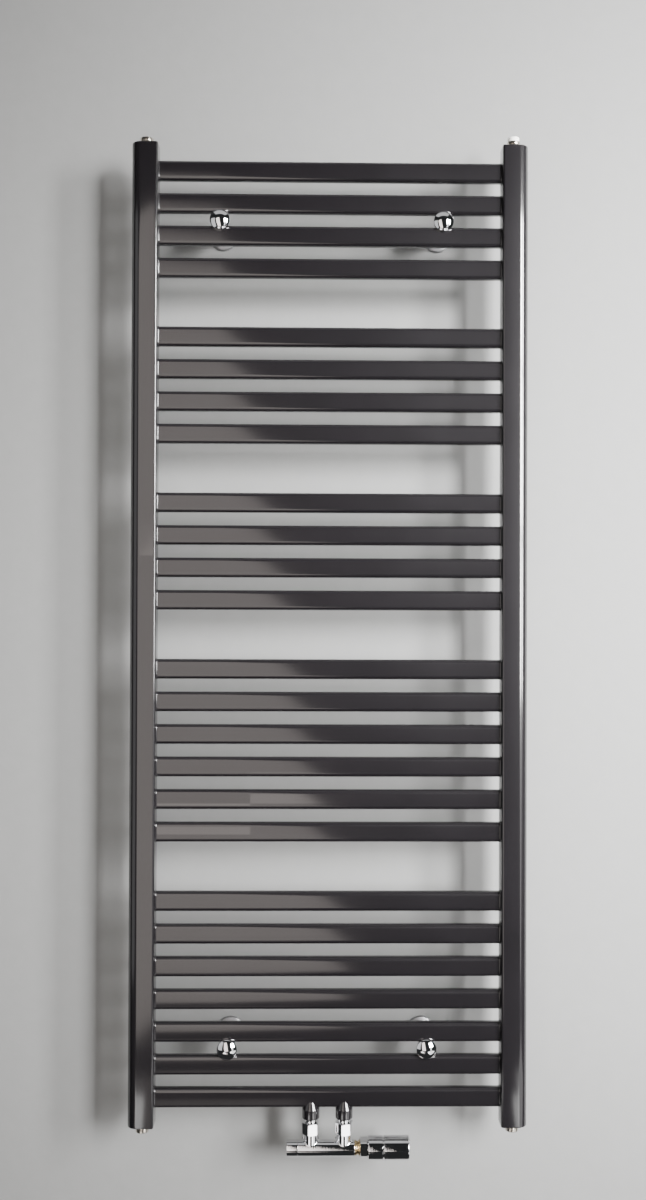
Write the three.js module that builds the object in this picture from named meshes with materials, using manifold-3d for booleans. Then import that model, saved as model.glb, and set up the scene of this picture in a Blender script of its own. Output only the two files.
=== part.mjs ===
// Towel-rail radiator, 600 x 1478 mm, with a centre-connected twin valve and thermostatic head.
// Units are millimetres. +Z is up, +Y points into the wall, and +X to the right of a person
// who faces the radiator.
// The origin lies on the wall's surface, at the middle of the radiator's width and of the collectors' height.
import * as THREE from "three";
import { mergeVertices } from "three/addons/utils/BufferGeometryUtils.js";
import Module from "manifold-3d";

const wasm = await Module();
wasm.setup();

// ---------------------------------------------------------------- driving dimensions

const clearance = 0.3; // between pieces that touch, screw together or slide in each other
const width = 600; // over the outer sides of the two collectors
const height = 1478; // length of a collector
const wallGap = 60; // from the wall to the back of the collectors

const collectorWidth = 40;
const collectorDepth = 30;
const collectorWall = 1.5;
const collectorCorner = 3;
const endPlate = 12; // threaded end bush, welded into each end of a collector
const endHoleRadius = 9.5;
const endHoleOffset = 2; // towards the flat side, where the section is fuller

const barHeight = 30;
const barDepth = 15;
const barWall = 1.2;
const barCorner = 6.5;
const barPitch = 49; // between the bars of one group
const barGroups = [4, 4, 4, 6, 7]; // from the top
const topMargin = 40; // from a collector's end to the nearest bar's centre
const bottomMargin = 42;
const partitionThickness = 2; // in the lowest bar, between flow and return

const connectionSpacing = 50; // between the two valve connections
const socketRadius = 13;
const socketLength = 16; // below the lowest bar
const socketShoulder = 2; // cylinder's top edge, below the lowest bar
const socketTipRise = 10; // height that the cone climbs on the bar's faces
const socketBoreRadius = 9.3;
const socketBoreDepth = 12;
const portRadius = 6; // water way from the socket into the bar

const capRadius = 15; // bracket's front button
const capRim = 4;
const capDome = 6;
const studRadius = 4;
const collarRadius = 6.8; // spacer between two bars, with play above and below it
const clampPlateWidth = 20;
const clampPlateHeight = 44;
const clampPlateThickness = 4;
const sleeveRadius = 9;
const pegRadius = 6.2;
const footRadius = 20;
const footThickness = 4;
const wallScrewRadius = 2.6;
const depthAdjustment = 10; // free length of peg between the sleeve and the wall foot
// rise: from the middle of the gap between the two bars, as hung
const bracketPlaces = [
  { name: "top_left", x: -167, belowBar: 2, rise: -2.4 },
  { name: "top_right", x: 171, belowBar: 2, rise: -2.4 },
  { name: "bottom_left", x: -151, belowBar: 23, rise: 0.5 },
  { name: "bottom_right", x: 148, belowBar: 23, rise: 0.5 },
];

const plugFlangeRadius = 10.6;
const plugFlange = 2.4;
const plugHeadRadius = 9.9;
const plugHead = 8.8; // height over the collector's end
const plugThread = 10;
const plugRecessRadius = 4;
const ventShoulder = 8;
const ventNeckRadius = 6;
const ventNeckHeight = 11.4;
const ventScrewRadius = 2.7;
const ventScrewHeadRadius = 4.5;
const ventScrewHead = 2.4;
const ventSlotWidth = 1.2;
const nozzleRadius = 8.9;
const nozzleTop = 14.6;
const spoutRadius = 1.9;
const spoutLength = 3;

const tailNeckRadius = 9.8; // ring that shows between a socket and its union nut
const tailNeckLength = 5.5;
const tailTubeRadius = 8.2;
const tailBoreRadius = 6;
const tailCollar = 3; // seat that the union nut pulls down
const nutAcrossFlats = 24.5;
const nutLip = 3;
const nutHeight = 17.4;
const riserThreadRadius = 10.4;

const bodyRadius = 12;
const bodyDrop = 33.5; // from the top of a riser to the body's axis
const bodyLeftEnd = -44.4; // along X
const bodyRightEnd = 40.9;
const riserRadius = 10.2;
const riserBoreRadius = 7;
const pipeStubRadius = 13.2; // male thread for the pipe, at the back
const pipeStubLength = 27; // from the body's axis to the stub's face
const pipeBoreRadius = 7.5;
const spigotRadius = 9.2;
const spigotLength = 5.6;
const lockshieldCapLength = 16.7;
const lockshieldCapWall = 4;
const spindleRadius = 5.9;
const spindleLength = 22;
const spindleSocketRadius = 2.9;
const spindleOut = 3; // length of spindle outside the spigot

const insertBoreRadius = 8;
const insertLength = 26; // of the part inside the body
const insertCollarRadius = 10.9;
const insertWaistRadius = 9;
const insertCollarLength = 8;
const insertThreadRadius = 13.5;
const insertThreadLength = 5;
const pinRadius = 2;
const pinDiscRadius = 6;
const pinDisc = 3;
const pinTravel = 2; // each way from rest

const headRadius = 17.3;
const headNutRadius = 15.7;
const headNutLength = 11.2;
const headNutLip = 2;
const headNutSides = 12;
const headFlange = 2.7;
const headBaseLength = 21.8;
const headBaseWall = 1.7;
const headBaseFloor = 3;
const headGroove = 1.9; // between the base ring and the handle
const handleLength = 38.8;
const handleBevel = 1.5;
const handleSkirt = 15.7; // length that runs inside the base ring
const handleWall = 2.2;
const handleEndWall = 4.8;
const handleEndDome = 0.8;
const sensorRadius = 11;
const sensorNoseRadius = 5;

// ---------------------------------------------------------------- sizes that follow

const halfWidth = width / 2;
const innerFace = halfWidth - collectorWidth; // X of the face that the bars are welded to
const middleY = -(wallGap + collectorDepth / 2); // bars, collectors, sockets and valve share this plane
const barFront = middleY - barDepth / 2;
const barBack = middleY + barDepth / 2;
const barCount = barGroups.reduce((sum, n) => sum + n, 0);
const pitchCount = barCount - barGroups.length;
const groupStep =
  (height - topMargin - bottomMargin - pitchCount * barPitch) / (barGroups.length - 1);

const barHeights = []; // Z of each bar's centre, from the top
let nextBar = height / 2 - topMargin;
for (const count of barGroups) {
  for (let i = 0; i < count; i++) barHeights.push(nextBar - i * barPitch);
  nextBar -= (count - 1) * barPitch + groupStep;
}
const lowestBar = barHeights[barCount - 1];
const lowestEdge = lowestBar - barHeight / 2;
const socketBottom = lowestEdge - socketLength;
const socketX = connectionSpacing / 2;

const tailNeckBottom = socketBottom - clearance - tailNeckLength;
const nutTop = tailNeckBottom - clearance;
const tailCollarTop = nutTop - nutLip - clearance;
const riserTop = tailCollarTop - tailCollar - clearance;
const valveZ = riserTop - bodyDrop;
const stubFace = middleY + pipeStubLength;

const insertFace = bodyRightEnd + clearance; // where the brass collar starts
const insertThreadStart = insertFace + insertCollarLength + clearance;
const insertEnd = insertThreadStart + insertThreadLength;
const headNutStart = insertThreadStart - 2 * clearance;
const headNutEnd = headNutStart + headNutLength;
const headNutBore = insertThreadRadius + clearance;
const headFlangeEnd = headNutEnd - headNutLip - clearance;
const headNeckRadius = headNutBore - 1.6;
const headBaseStart = headNutEnd + 4 * clearance;
const headBaseEnd = headBaseStart + headBaseLength;
const handleStart = headBaseEnd + headGroove;
const handleEnd = handleStart + handleLength;
const skirtRadius = headRadius - headBaseWall - clearance;
const skirtStart = handleStart - handleSkirt;
const handleBore = skirtRadius - handleWall;
const handleFloor = handleEnd - handleEndWall;
const baseFloorEnd = headBaseStart + headBaseFloor;
const pinStart = insertFace - insertLength - pinTravel - pinDisc - 2;
const pinEnd = headFlangeEnd + 1.2;
const sensorStart = baseFloorEnd + pinTravel + 1;
const sensorEnd = handleFloor - pinTravel - 6;

// ---------------------------------------------------------------- shape helpers

// Points of an arc about (x, y), from one angle to another in degrees.
function arc(x, y, radius, from, to, steps) {
  const points = [];
  for (let i = 0; i <= steps; i++) {
    const a = THREE.MathUtils.degToRad(from + ((to - from) * i) / steps);
    points.push(new THREE.Vector2(x + radius * Math.cos(a), y + radius * Math.sin(a)));
  }
  return points;
}

// A rectangle about the origin, with round corners of that many steps each.
function roundedRectangle(w, h, radius, steps) {
  const x = w / 2 - radius;
  const y = h / 2 - radius;
  return new THREE.Shape([
    ...arc(x, y, radius, 0, 90, steps),
    ...arc(-x, y, radius, 90, 180, steps),
    ...arc(-x, -y, radius, 180, 270, steps),
    ...arc(x, -y, radius, 270, 360, steps),
  ]);
}

// The collector's section: a flat side at +X, a half-round side at -X.
function dSection(w, d, corner, cornerSteps, roundSteps) {
  return new THREE.Shape([
    ...arc(w / 2 - corner, -d / 2 + corner, corner, -90, 0, cornerSteps),
    ...arc(w / 2 - corner, d / 2 - corner, corner, 0, 90, cornerSteps),
    ...arc(-w / 2 + d / 2, 0, d / 2, 90, 270, roundSteps),
  ]);
}

function polygon(radius, sides, turn = 0) {
  return new THREE.Shape(arc(0, 0, radius, turn, turn + 360, sides).slice(0, sides));
}

const extruded = (shape, depth) =>
  new THREE.ExtrudeGeometry(shape, { depth, bevelEnabled: false, steps: 1 });

// A turned body about +Y; its profile [radius, y] runs from the axis, or closes on itself.
const turned = (profile, sides) =>
  new THREE.LatheGeometry(profile.map(([r, y]) => new THREE.Vector2(r, y)), sides);

// A turned ring or tube: the profile's first point is added again to close it.
const turnedRing = (profile, sides) => turned([...profile, profile[0]], sides);

const rod = (radius, from, to, sides) =>
  turned([[0, from], [radius, from], [radius, to], [0, to]], sides);

// A closed geometry as a manifold solid, for cutting and joining.
function solid(geometry) {
  const bare = geometry.clone();
  bare.deleteAttribute("normal");
  bare.deleteAttribute("uv");
  const merged = mergeVertices(bare, 1e-3);
  return new wasm.Manifold(
    new wasm.Mesh({
      numProp: 3,
      vertProperties: new Float32Array(merged.attributes.position.array),
      triVerts: new Uint32Array(merged.index.array),
    }),
  );
}

function geometryOf(manifold) {
  const { vertProperties, triVerts } = manifold.getMesh();
  return new THREE.BufferGeometry()
    .setAttribute("position", new THREE.BufferAttribute(vertProperties, 3))
    .setIndex(new THREE.BufferAttribute(triVerts, 1));
}

// Turns that lay a helper's own axis along the part's axes.
const turnedAlongX = (geometry) => geometry.rotateZ(-Math.PI / 2);
const turnedAlongZ = (geometry) => geometry.rotateX(Math.PI / 2);
const extrudedAlongX = (geometry) => geometry.rotateY(Math.PI / 2).rotateX(Math.PI / 2);
const extrudedAlongY = (geometry) => geometry.rotateX(-Math.PI / 2);

// ---------------------------------------------------------------- materials

const paint = new THREE.MeshStandardMaterial({ color: 0x37343a, roughness: 0.35, metalness: 0.4 });
const chrome = new THREE.MeshStandardMaterial({ color: 0xd8d8da, roughness: 0.06, metalness: 1 });
const nickel = new THREE.MeshStandardMaterial({ color: 0xb9b2a6, roughness: 0.25, metalness: 1 });
const brass = new THREE.MeshStandardMaterial({ color: 0xc9a45c, roughness: 0.25, metalness: 1 });
const steel = new THREE.MeshStandardMaterial({ color: 0x9a9a9c, roughness: 0.4, metalness: 1 });
const whitePlastic = new THREE.MeshStandardMaterial({ color: 0xf2f2ee, roughness: 0.4 });
const darkPlastic = new THREE.MeshStandardMaterial({ color: 0x2a2a2c, roughness: 0.5 });

const radiator = new THREE.Group();

function add(name, geometry, material, x = 0, y = 0, z = 0) {
  const mesh = new THREE.Mesh(geometry, material);
  mesh.name = name;
  mesh.position.set(x, y, z);
  radiator.add(mesh);
  return mesh;
}

// ---------------------------------------------------------------- bars

const barOutline = (grow = 0) =>
  roundedRectangle(barDepth + 2 * grow, barHeight + 2 * grow, barCorner + grow, 2);
const waterWay = () =>
  roundedRectangle(barDepth - 2 * barWall, barHeight - 2 * barWall, barCorner - barWall, 1);
const barLength = 2 * (innerFace - clearance);

function barTube() {
  const section = barOutline();
  section.holes.push(waterWay());
  return extrudedAlongX(extruded(section, barLength)).translate(-barLength / 2, 0, 0);
}

// The lowest bar has a partition at its middle and a water way down into each socket.
function connectionBar() {
  const partition = extrudedAlongX(extruded(waterWay(), partitionThickness)).translate(
    -partitionThickness / 2, 0, 0,
  );
  let bar = solid(barTube()).add(solid(partition));
  for (const x of [-socketX, socketX]) {
    const port = turnedAlongZ(rod(portRadius, -barHeight, 0, 12)).translate(x, 0, 0);
    bar = bar.subtract(solid(port));
  }
  return geometryOf(bar);
}

for (let i = 0; i < barCount - 1; i++) {
  add("bar_" + String(i + 1).padStart(2, "0"), barTube(), paint, 0, middleY, barHeights[i]);
}
add("bar_" + barCount, connectionBar(), paint, 0, middleY, lowestBar);

// ---------------------------------------------------------------- collectors

// A D-section tube with a threaded bush in each end and a slot for each bar's water.
function collector() {
  const outer = extruded(
    dSection(collectorWidth, collectorDepth, collectorCorner, 2, 12), height,
  ).translate(0, 0, -height / 2);
  const inner = extruded(
    dSection(
      collectorWidth - 2 * collectorWall, collectorDepth - 2 * collectorWall,
      collectorCorner - collectorWall, 1, 8,
    ),
    height - 2 * endPlate,
  ).translate(0, 0, -height / 2 + endPlate);
  const endHole = turnedAlongZ(rod(endHoleRadius, -height, height, 16)).translate(endHoleOffset, 0, 0);
  let tube = solid(outer).subtract(solid(inner)).subtract(solid(endHole));
  for (const z of barHeights) {
    const slot = extrudedAlongX(extruded(waterWay(), 3 * collectorWall)).translate(
      collectorWidth / 2 - 2 * collectorWall, 0, z,
    );
    tube = tube.subtract(solid(slot));
  }
  return geometryOf(tube);
}

const collectorX = halfWidth - collectorWidth / 2;
add("collector_left", collector(), paint, -collectorX, middleY, 0);
// The section is symmetric front to back, so a mirrored copy is the same tube turned round.
const rightCollector = add("collector_right", collector(), paint, collectorX, middleY, 0);
rightCollector.rotation.z = Math.PI;

// ---------------------------------------------------------------- connection sockets

// A threaded boss with a conical top, welded under the lowest bar and standing proud of both its faces.
function socket() {
  const coneRise = socketShoulder + socketTipRise;
  const shoulder = socketLength - socketShoulder;
  const boss = turnedAlongZ(
    turned(
      [[0, 0], [socketRadius, 0], [socketRadius, shoulder],
        [barDepth / 2, shoulder + coneRise], [0, shoulder + coneRise]],
      24,
    ),
  );
  const barSpace = extrudedAlongX(extruded(barOutline(clearance), 4 * socketRadius)).translate(
    -2 * socketRadius, 0, socketLength + barHeight / 2,
  );
  const bore = turnedAlongZ(rod(socketBoreRadius, -1, socketBoreDepth, 20));
  const port = turnedAlongZ(rod(portRadius, 0, socketLength + barHeight / 2, 12));
  return geometryOf(
    solid(boss).subtract(solid(barSpace)).subtract(solid(bore)).subtract(solid(port)),
  );
}

add("socket_left", socket(), paint, -socketX, middleY, socketBottom);
add("socket_right", socket(), paint, socketX, middleY, socketBottom);

// ---------------------------------------------------------------- blind plugs and air vent

const plugThreadRadius = endHoleRadius - clearance;
const endHoleX = collectorX - endHoleOffset;

function blindPlug() {
  return turnedAlongZ(
    turned(
      [[0, -plugThread], [plugThreadRadius, -plugThread], [plugThreadRadius, clearance],
        [plugFlangeRadius, clearance], [plugFlangeRadius, plugFlange],
        [plugHeadRadius, plugFlange + 1], [plugHeadRadius, plugHead],
        [plugRecessRadius, plugHead], [plugRecessRadius, plugFlange + 1], [0, plugFlange + 1]],
      20,
    ),
  );
}

add("plug_top_left", blindPlug(), nickel, -endHoleX, middleY, height / 2);
for (const [side, x] of [["left", -endHoleX], ["right", endHoleX]]) {
  const plug = add("plug_bottom_" + side, blindPlug(), nickel, x, middleY, -height / 2);
  plug.rotation.x = Math.PI;
}

function ventBody() {
  const bore = ventScrewRadius + clearance;
  return turnedAlongZ(
    turnedRing(
      [[bore, -plugThread], [plugThreadRadius, -plugThread], [plugThreadRadius, clearance],
        [plugFlangeRadius, clearance], [plugFlangeRadius, plugFlange],
        [plugHeadRadius, plugFlange + 1], [plugHeadRadius, ventShoulder],
        [ventNeckRadius, ventShoulder], [ventNeckRadius, ventNeckHeight],
        [bore, ventNeckHeight]],
      20,
    ),
  );
}

// A plastic ring that turns on the vent's neck and carries the spout.
function ventNozzle() {
  const bottom = ventShoulder + clearance;
  const top = nozzleTop;
  const ring = turnedAlongZ(
    turnedRing(
      [[ventNeckRadius + clearance, bottom], [nozzleRadius, bottom], [nozzleRadius, top - 1],
        [nozzleRadius - 1, top], [ventNeckRadius + clearance, top]],
      20,
    ),
  );
  const spout = turnedAlongX(
    rod(spoutRadius, nozzleRadius - 1, nozzleRadius + spoutLength, 12),
  ).translate(0, 0, (bottom + top) / 2);
  return geometryOf(solid(ring).add(solid(spout)));
}

function ventScrew() {
  const headBottom = ventNeckHeight + clearance;
  const headTop = headBottom + ventScrewHead;
  const screw = turnedAlongZ(
    turned(
      [[0, -plugThread + 2], [ventScrewRadius, -plugThread + 2], [ventScrewRadius, headBottom],
        [ventScrewHeadRadius, headBottom], [ventScrewHeadRadius, headTop], [0, headTop]],
      16,
    ),
  );
  const slot = new THREE.BoxGeometry(3 * ventScrewHeadRadius, ventSlotWidth, ventScrewHead).translate(
    0, 0, headTop,
  );
  return geometryOf(solid(screw).subtract(solid(slot)));
}

add("vent_body", ventBody(), nickel, endHoleX, middleY, height / 2);
const nozzle = add("vent_nozzle", ventNozzle(), whitePlastic, endHoleX, middleY, height / 2);
nozzle.rotation.z = THREE.MathUtils.degToRad(50); // the spout points back and outwards
add("vent_screw", ventScrew(), brass, endHoleX, middleY, height / 2);

// ---------------------------------------------------------------- wall brackets

const capBack = barFront - clearance;
const plateFront = barBack + clearance;
const plateBack = plateFront + clampPlateThickness;
const sleeveBack = -footThickness - depthAdjustment;
const studEnd = plateBack + 2;

// A domed button on a threaded stud.
function bracketCap() {
  const rim = capBack - capRim;
  const dome = arc(0, 0, 1, 270, 360, 4).map((p) => [capRadius * p.x, rim + capDome * p.y]);
  dome[0][0] = 0;
  return turned(
    [...dome, [capRadius, capBack], [studRadius, capBack], [studRadius, studEnd], [0, studEnd]],
    24,
  );
}

// A clamp plate behind two bars, a collar between them and a sleeve towards the wall.
function bracketClamp() {
  const collar = rod(collarRadius, capBack + 4 * clearance, plateBack, 20);
  const plate = extrudedAlongY(
    extruded(roundedRectangle(clampPlateWidth, clampPlateHeight, 3, 2), clampPlateThickness),
  ).translate(0, plateFront, 0);
  const sleeve = rod(sleeveRadius, plateFront, sleeveBack, 20);
  const studHole = rod(studRadius + clearance, capBack, studEnd + 1, 16);
  const pegHole = rod(pegRadius + clearance, studEnd + 3, 0, 16);
  const through = rod(wallScrewRadius, studEnd, studEnd + 4, 12);
  return geometryOf(
    solid(collar).add(solid(plate)).add(solid(sleeve))
      .subtract(solid(studHole)).subtract(solid(pegHole)).subtract(solid(through)),
  );
}

// A round foot on the wall, with the peg that slides in the sleeve and the hole of the wall screw.
function bracketFoot() {
  const pegFront = studEnd + 6;
  return turnedRing(
    [[wallScrewRadius, pegFront], [pegRadius, pegFront], [pegRadius, -footThickness],
      [footRadius - 1, -footThickness], [footRadius, -footThickness + 1], [footRadius, 0],
      [wallScrewRadius, 0]],
    20,
  );
}

for (const { name, x, belowBar, rise } of bracketPlaces) {
  const z = (barHeights[belowBar - 1] + barHeights[belowBar]) / 2 + rise;
  add("bracket_" + name + "_cap", bracketCap(), chrome, x, 0, z);
  add("bracket_" + name + "_clamp", bracketClamp(), chrome, x, 0, z);
  add("bracket_" + name + "_foot", bracketFoot(), steel, x, 0, z);
}

// ---------------------------------------------------------------- unions between sockets and valve

// A tube that screws into the socket; its neck ring shows, and its collar seats on the riser.
function tailpiece() {
  const threadTop = socketBottom + socketBoreDepth - 1;
  return turnedAlongZ(
    turnedRing(
      [[tailBoreRadius, tailCollarTop - tailCollar], [riserThreadRadius, tailCollarTop - tailCollar],
        [riserThreadRadius, tailCollarTop], [tailTubeRadius, tailCollarTop],
        [tailTubeRadius, tailNeckBottom], [tailNeckRadius, tailNeckBottom],
        [tailNeckRadius, socketBottom - clearance],
        [socketBoreRadius - clearance, socketBottom - clearance],
        [socketBoreRadius - clearance, threadTop], [tailBoreRadius, threadTop]],
      20,
    ),
  );
}

function unionNut() {
  const cornerRadius = nutAcrossFlats / 2 / Math.cos(Math.PI / 6);
  const prism = extruded(polygon(cornerRadius, 6), nutHeight).translate(0, 0, nutTop - nutHeight);
  const thread = turnedAlongZ(
    rod(riserThreadRadius + clearance, nutTop - nutHeight - 1, nutTop - nutLip, 20),
  );
  const lip = turnedAlongZ(rod(tailTubeRadius + clearance, nutTop - nutLip - 1, nutTop + 1, 20));
  return geometryOf(solid(prism).subtract(solid(thread)).subtract(solid(lip)));
}

for (const [side, x] of [["left", -socketX], ["right", socketX]]) {
  add("tailpiece_" + side, tailpiece(), chrome, x, middleY, 0);
  add("union_nut_" + side, unionNut(), chrome, x, middleY, 0);
}

// ---------------------------------------------------------------- valve body

// A cross tube with two risers and two pipe stubs. Its left and right chambers don't meet.
function valveBody() {
  const chamberEnd = 4; // half the wall between the two chambers
  let body = solid(turnedAlongX(rod(bodyRadius, bodyLeftEnd, bodyRightEnd, 24)));
  body = body.add(
    solid(turnedAlongX(rod(spigotRadius, bodyLeftEnd - spigotLength, bodyLeftEnd + 1, 20))),
  );
  for (const x of [-socketX, socketX]) {
    const riser = turnedAlongZ(
      turned(
        [[0, 0], [riserRadius, 0], [riserRadius, bodyDrop - nutHeight + 4],
          [riserThreadRadius, bodyDrop - nutHeight + 4], [riserThreadRadius, bodyDrop],
          [0, bodyDrop]],
        20,
      ),
    ).translate(x, 0, 0);
    const stub = rod(pipeStubRadius, 0, pipeStubLength, 20).translate(x, 0, 0);
    body = body.add(solid(riser)).add(solid(stub));
  }
  for (const x of [-socketX, socketX]) {
    const up = turnedAlongZ(rod(riserBoreRadius, 0, bodyDrop + 1, 16)).translate(x, 0, 0);
    const back = rod(pipeBoreRadius, 0, pipeStubLength + 1, 16).translate(x, 0, 0);
    body = body.subtract(solid(up)).subtract(solid(back));
  }
  const leftBore = rod(
    spindleRadius + clearance, bodyLeftEnd - spigotLength - 1, -chamberEnd - pinTravel, 16,
  );
  const rightBore = rod(insertBoreRadius, chamberEnd, bodyRightEnd + 1, 16);
  return geometryOf(
    body.subtract(solid(turnedAlongX(leftBore))).subtract(solid(turnedAlongX(rightBore))),
  );
}

add("valve_body", valveBody(), chrome, 0, middleY, valveZ);

// ---------------------------------------------------------------- lockshield, at the valve's left end

const capRight = bodyLeftEnd - clearance;
const capLeft = capRight - lockshieldCapLength;
const lockshieldCap = turnedAlongX(
  turned(
    [[0, capLeft], [bodyRadius - 1, capLeft], [bodyRadius, capLeft + 1], [bodyRadius, capRight],
      [spigotRadius + clearance, capRight],
      [spigotRadius + clearance, capLeft + lockshieldCapWall], [0, capLeft + lockshieldCapWall]],
    24,
  ),
);
add("lockshield_cap", lockshieldCap, chrome, 0, middleY, valveZ);

function lockshieldSpindle() {
  const outerEnd = bodyLeftEnd - spigotLength - spindleOut;
  const stem = turnedAlongX(rod(spindleRadius, outerEnd, outerEnd + spindleLength, 16));
  const keyHole = extrudedAlongX(extruded(polygon(spindleSocketRadius, 6), 7)).translate(
    outerEnd - 1, 0, 0,
  );
  return geometryOf(solid(stem).subtract(solid(keyHole)));
}
add("lockshield_spindle", lockshieldSpindle(), brass, 0, middleY, valveZ);

// ---------------------------------------------------------------- thermostatic insert, at the right end

const insertWaist = insertFace + insertCollarLength / 2;
const pinHole = pinRadius + clearance;
const insertRing = [
  [pinHole, insertFace - insertLength],
  [insertBoreRadius - clearance, insertFace - insertLength],
  [insertBoreRadius - clearance, insertFace],
  [insertCollarRadius, insertFace],
  [insertCollarRadius, insertFace + 2.6],
  [insertWaistRadius, insertWaist],
  [insertCollarRadius, insertFace + insertCollarLength - 2.6],
  [insertCollarRadius, insertThreadStart],
  [insertThreadRadius, insertThreadStart],
  [insertThreadRadius, insertEnd],
  [pinHole, insertEnd],
];
add("thermostat_insert", turnedAlongX(turnedRing(insertRing, 20)), brass, 0, middleY, valveZ);

const pinProfile = [
  [0, pinStart], [pinDiscRadius, pinStart], [pinDiscRadius, pinStart + pinDisc],
  [pinRadius, pinStart + pinDisc], [pinRadius, pinEnd], [0, pinEnd],
];
add("valve_pin", turnedAlongX(turned(pinProfile, 12)), steel, 0, middleY, valveZ);

// ---------------------------------------------------------------- thermostatic head

function headNut() {
  const ring = extrudedAlongX(
    extruded(polygon(headNutRadius, headNutSides, 180 / headNutSides), headNutLength),
  ).translate(headNutStart, 0, 0);
  const bore = turnedAlongX(rod(headNutBore, headNutStart - 1, headNutEnd - headNutLip, 24));
  const lip = turnedAlongX(rod(headNeckRadius + clearance, headNutStart, headNutEnd + 1, 24));
  return geometryOf(solid(ring).subtract(solid(bore)).subtract(solid(lip)));
}
add("head_nut", headNut(), chrome, 0, middleY, valveZ);

const noseHole = sensorNoseRadius + 2;
const headBaseRing = [
  [noseHole, headFlangeEnd - headFlange], [insertThreadRadius, headFlangeEnd - headFlange],
  [insertThreadRadius, headFlangeEnd], [headNeckRadius, headFlangeEnd],
  [headNeckRadius, headBaseStart], [headRadius, headBaseStart],
  [headRadius, headBaseEnd], [headRadius - headBaseWall, headBaseEnd],
  [headRadius - headBaseWall, baseFloorEnd], [noseHole, baseFloorEnd],
];
add("head_base", turnedAlongX(turnedRing(headBaseRing, 28)), chrome, 0, middleY, valveZ);

const handleProfile = [
  [0, handleFloor], [handleBore, handleFloor], [handleBore, skirtStart], [skirtRadius, skirtStart],
  [skirtRadius, handleStart], [headRadius, handleStart], [headRadius, handleEnd - handleBevel],
  [headRadius - handleBevel, handleEnd], [0, handleEnd + handleEndDome],
];
add("head_handle", turnedAlongX(turned(handleProfile, 28)), chrome, 0, middleY, valveZ);

const sensorProfile = [
  [0, pinEnd + clearance], [sensorNoseRadius, pinEnd + clearance], [sensorNoseRadius, sensorStart],
  [sensorRadius, sensorStart], [sensorRadius, sensorEnd], [0, sensorEnd],
];
add("sensor_capsule", turnedAlongX(turned(sensorProfile, 20)), darkPlastic, 0, middleY, valveZ);

export default radiator;
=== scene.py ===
# Towel radiator with its brackets, air vent and thermostatic valve, seen on a pale bathroom wall.
# Lengths are in metres: X to the right, Y into the wall, Z up. It follows the order of assembly.
import math

import bmesh
import bpy
from mathutils import Matrix, Vector


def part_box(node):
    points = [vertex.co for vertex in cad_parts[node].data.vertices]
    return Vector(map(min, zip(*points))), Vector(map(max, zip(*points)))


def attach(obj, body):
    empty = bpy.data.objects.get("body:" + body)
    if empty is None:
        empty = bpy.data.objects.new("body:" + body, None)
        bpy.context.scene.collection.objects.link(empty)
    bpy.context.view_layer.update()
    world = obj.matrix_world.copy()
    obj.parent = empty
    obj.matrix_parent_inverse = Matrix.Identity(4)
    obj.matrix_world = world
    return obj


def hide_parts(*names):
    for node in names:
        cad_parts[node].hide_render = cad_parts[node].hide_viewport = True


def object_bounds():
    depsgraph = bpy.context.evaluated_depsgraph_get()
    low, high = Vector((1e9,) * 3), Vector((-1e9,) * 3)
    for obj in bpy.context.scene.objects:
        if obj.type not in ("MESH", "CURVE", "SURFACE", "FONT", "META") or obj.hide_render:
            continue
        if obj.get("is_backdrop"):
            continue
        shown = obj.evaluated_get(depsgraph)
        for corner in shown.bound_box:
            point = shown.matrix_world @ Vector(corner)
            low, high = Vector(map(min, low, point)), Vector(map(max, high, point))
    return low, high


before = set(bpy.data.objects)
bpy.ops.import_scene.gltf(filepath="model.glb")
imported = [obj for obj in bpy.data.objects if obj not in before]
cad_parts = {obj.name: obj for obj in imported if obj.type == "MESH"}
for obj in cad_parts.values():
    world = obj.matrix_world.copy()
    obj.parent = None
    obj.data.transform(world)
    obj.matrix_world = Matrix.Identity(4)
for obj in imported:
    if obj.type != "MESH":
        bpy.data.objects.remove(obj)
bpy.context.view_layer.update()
mm = 0.001
tau = 2 * math.pi

# ---------------------------------------------------------------- collectors
# The two upright tubes that share the water out: welded steel of a D section, flat on the inside
# where the bars join it and half round outside. They are closed at both ends and powder coated.


class Signal:
    """One output of a material's nodes, used like a number in an expression."""

    def __init__(self, tree, socket=None):
        self.tree = tree
        self.socket = socket

    def node(self, kind, settings=None, feeds=None, output=0):
        """Adds a node: its settings first, then the values or links of its sockets."""
        made = self.tree.nodes.new(kind)
        for name, value in (settings or {}).items():
            setattr(made, name, value)
        for name, value in (feeds or {}).items():
            if isinstance(value, Signal):
                self.tree.links.new(value.socket, made.inputs[name])
            else:
                made.inputs[name].default_value = value
        return Signal(self.tree, made.outputs[output])

    def math(self, operation, *values):
        return self.node("ShaderNodeMath", {"operation": operation}, dict(enumerate(values)))

    def __add__(self, other):
        return self.math("ADD", self, other)

    def __mul__(self, other):
        return self.math("MULTIPLY", self, other)

    __radd__ = __add__
    __rmul__ = __mul__

    def mix(self, low, high):
        """A colour between two, by this signal."""
        return self.node(
            "ShaderNodeMix",
            {"data_type": "RGBA"},
            {"Factor": self, "A": (*low, 1), "B": (*high, 1)},
            "Result",
        )

    def scaled(self, x, y, z):
        """This place in space, stretched along each axis."""
        return self.node(
            "ShaderNodeVectorMath", {"operation": "MULTIPLY"}, {0: self, 1: (x, y, z)}
        )

    def noise(self, scale, detail=2.0, roughness=0.5):
        """Cloudy variation from 0 to 1 at this place, with so many lumps to the metre."""
        return self.node(
            "ShaderNodeTexNoise",
            {},
            {"Vector": self, "Scale": scale, "Detail": detail, "Roughness": roughness},
        )

    def bump(self, height, strength):
        """A normal tilted by a height signal, as relief up to a millimetre deep."""
        return self.node(
            "ShaderNodeBump", {}, {"Height": height, "Strength": strength, "Distance": mm}
        )


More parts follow.
